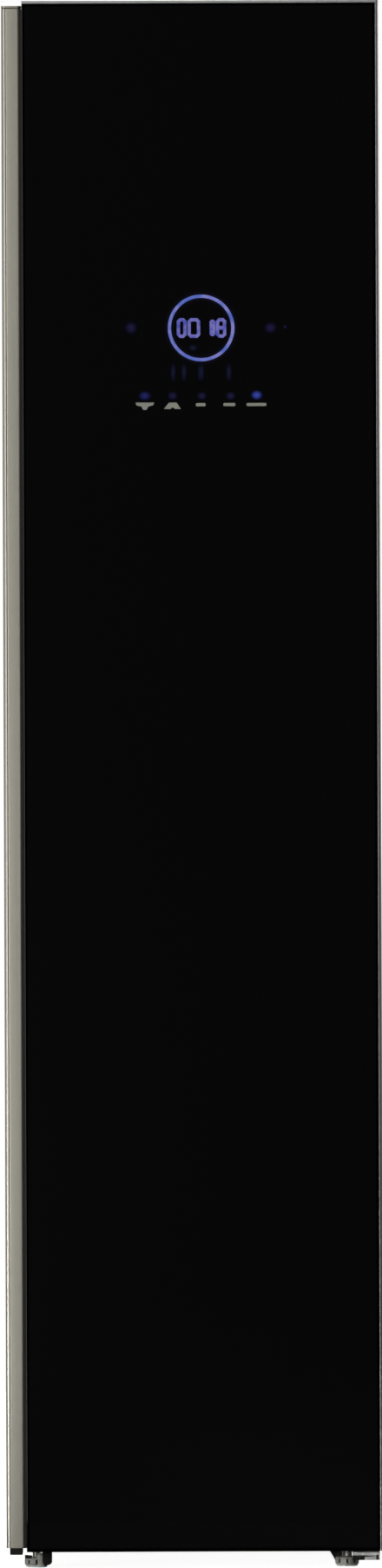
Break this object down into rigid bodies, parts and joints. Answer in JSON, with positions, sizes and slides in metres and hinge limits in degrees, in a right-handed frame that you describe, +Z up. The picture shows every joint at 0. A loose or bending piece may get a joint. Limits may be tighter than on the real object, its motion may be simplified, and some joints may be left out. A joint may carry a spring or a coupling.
{
  "type": "clothes care steam cabinet",
  "caption": "Tall narrow free-standing steam cabinet for garments, with a black glass door, a full-height grip rail, a moving hanger bar and lift-out water tanks.",
  "frame": {"origin": "on the ground, under the middle of the whole cabinet", "axes": "+X to the right as one faces the door, +Y to the back, +Z up"},
  "size_m": [0.445, 0.585, 1.85],
  "materials": {
    "black_glass": "gloss",
    "rail_aluminium": "satin",
    "trim_aluminium": "satin",
    "case_paint": "satin",
    "galvanised_steel": "satin",
    "plated_steel": "satin",
    "black_steel": "satin",
    "foam": "matte",
    "liner_plastic": "satin",
    "frame_plastic": "matte",
    "clear_plastic": "gloss",
    "smoke_plastic": "gloss",
    "black_plastic": "matte",
    "foot_plastic": "matte",
    "seal_rubber": "matte",
    "bar_chrome": "polished",
    "coil_aluminium": "satin",
    "lamp_diffuser": "matte",
    "display_black": "gloss"
  },
  "bodies": {
    "cabinet": {"air_duct": "frame_plastic", "back_liner": "liner_plastic", "back_panel": "galvanised_steel", "base_frame": "galvanised_steel", "cabinet_screws": "plated_steel", "ceiling_liner": "liner_plastic", "chamber_floor": "liner_plastic", "chamber_lamp": "lamp_diffuser", "compressor": "black_steel", "compressor_mounts": "seal_rubber", "condenser": "coil_aluminium", "control_box": "black_plastic", "drive_belt": "seal_rubber", "drive_motor": "galvanised_steel", "drive_mount": "galvanised_steel", "evaporator": "coil_aluminium", "fan_housing": "frame_plastic", "fan_motor": "galvanised_steel", "foot_skids": "black_plastic", "front_frame": "frame_plastic", "guide_rods": "plated_steel", "hinge_cover": "black_plastic", "insulation": "foam", "left_side_panel": "case_paint", "lower_hinge_bracket": "plated_steel", "power_inlet": "black_plastic", "rear_spacers": "black_plastic", "right_side_panel": "case_paint", "side_liners": "liner_plastic", "steam_generator": "galvanised_steel", "steam_outlet": "plated_steel", "steam_pipe": "seal_rubber", "tank_bay": "frame_plastic", "top_panel": "case_paint", "upper_hinge_bracket": "plated_steel"},
    "door": {"door_glass": "black_glass", "door_tray": "black_steel", "door_insulation": "foam", "door_liner": "liner_plastic", "door_gasket": "seal_rubber", "grip_rail": "rail_aluminium", "rail_end_caps": "black_plastic", "top_trim": "trim_aluminium", "side_trim": "trim_aluminium", "display_board": "display_black", "hinge_bushes": "frame_plastic"},
    "front_foot_left": {"front_foot_left": "foot_plastic"},
    "front_foot_right": {"front_foot_right": "foot_plastic"},
    "rear_rollers": {"rear_rollers": "black_plastic"},
    "hanger": {"hanger_bar": "bar_chrome", "hanger_carriage": "frame_plastic"},
    "crank": {"crank_pulley": "black_plastic"},
    "motor_rotor": {"motor_pulley": "black_plastic"},
    "fan_wheel": {"fan_impeller": "black_plastic"},
    "supply_tank": {"supply_tank": "clear_plastic"},
    "supply_lid": {"supply_tank_lid": "frame_plastic"},
    "drain_tank": {"drain_tank": "smoke_plastic"},
    "drain_lid": {"drain_tank_lid": "frame_plastic"},
    "lint_filter": {"lint_filter": "frame_plastic"},
    "shelf": {"shelf": "liner_plastic"}
  },
  "joints": [
    {"name": "door_hinge", "type": "hinge", "parent": "cabinet", "child": "door", "pos_m": [0.205, -0.2685, 0.926], "axis": [0, 0, 1], "range_deg": [0, 110]},
    {"name": "foot_turn_left", "type": "hinge", "parent": "cabinet", "child": "front_foot_left", "pos_m": [-0.188, -0.205, 0.03], "axis": [0, 0, 1], "continuous": true},
    {"name": "foot_turn_right", "type": "hinge", "parent": "cabinet", "child": "front_foot_right", "pos_m": [0.18, -0.205, 0.03], "axis": [0, 0, 1], "continuous": true},
    {"name": "roller_spin", "type": "hinge", "parent": "cabinet", "child": "rear_rollers", "pos_m": [0, 0.2375, 0.013], "axis": [1, 0, 0], "continuous": true},
    {"name": "hanger_slide", "type": "slide", "parent": "cabinet", "child": "hanger", "axis": [1, 0, 0], "range_m": [-0.015, 0.015]},
    {"name": "crank_spin", "type": "hinge", "parent": "cabinet", "child": "crank", "pos_m": [0, 0.12, 1.775], "axis": [0, 0, 1], "continuous": true},
    {"name": "motor_spin", "type": "hinge", "parent": "cabinet", "child": "motor_rotor", "pos_m": [0.12, 0.12, 1.775], "axis": [0, 0, 1], "continuous": true},
    {"name": "fan_spin", "type": "hinge", "parent": "cabinet", "child": "fan_wheel", "pos_m": [0.1, -0.027, 0.16], "axis": [0, 0, 1], "continuous": true},
    {"name": "supply_tank_lift", "type": "slide", "parent": "cabinet", "child": "supply_tank", "axis": [0, 0, 1], "range_m": [0, 0.045]},
    {"name": "supply_lid_hinge", "type": "hinge", "parent": "supply_tank", "child": "supply_lid", "pos_m": [-0.0962, -0.1068, 0.3226], "axis": [-1, 0, 0], "range_deg": [0, 85]},
    {"name": "drain_tank_lift", "type": "slide", "parent": "cabinet", "child": "drain_tank", "axis": [0, 0, 1], "range_m": [0, 0.045]},
    {"name": "drain_lid_hinge", "type": "hinge", "parent": "drain_tank", "child": "drain_lid", "pos_m": [0.0962, -0.1068, 0.3226], "axis": [-1, 0, 0], "range_deg": [0, 85]},
    {"name": "filter_lift", "type": "slide", "parent": "cabinet", "child": "lint_filter", "axis": [0, 0, 1], "range_m": [0, 0.095]},
    {"name": "shelf_lift", "type": "slide", "parent": "cabinet", "child": "shelf", "axis": [0, 0, 1], "range_m": [0, 0.05]}
  ],
  "couplings": [
    {"joint": "motor_spin", "follows": "crank_spin", "ratio": 2.5}
  ]
}
